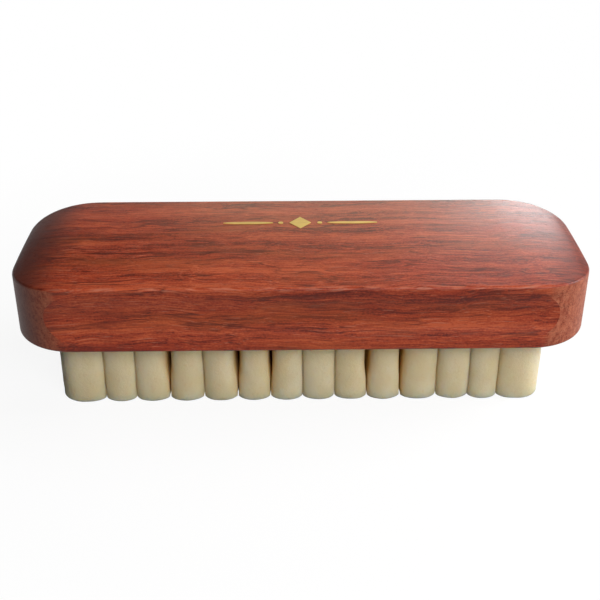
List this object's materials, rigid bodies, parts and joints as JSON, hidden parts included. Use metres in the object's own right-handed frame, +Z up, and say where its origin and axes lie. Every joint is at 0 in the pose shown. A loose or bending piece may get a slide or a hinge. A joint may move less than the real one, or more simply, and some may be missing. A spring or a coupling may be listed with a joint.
{
  "type": "suede brush",
  "caption": "Hand brush for suede: a moulded hardwood block with finger grooves, carrying a crepe rubber strip folded to and fro and bonded in its underside.",
  "frame": {"origin": "centre of the working face, where the folded crepe meets the suede; the brush stands on it", "axes": "+Z up through the wooden block, +X along the length of the brush, -Y towards the side with the full count of folds (the front in the picture)"},
  "size_m": [0.13, 0.047, 0.0337],
  "materials": {
    "wood": "red-brown close-grained hardwood, sanded and waxed to a low sheen",
    "crepe": "cream natural crepe rubber, matt, slightly grainy",
    "adhesive": "amber contact adhesive, cured"
  },
  "bodies": {
    "root": {"wood_block": "wood", "crepe_strip": "crepe", "adhesive_bed": "adhesive"}
  },
  "joints": []
}
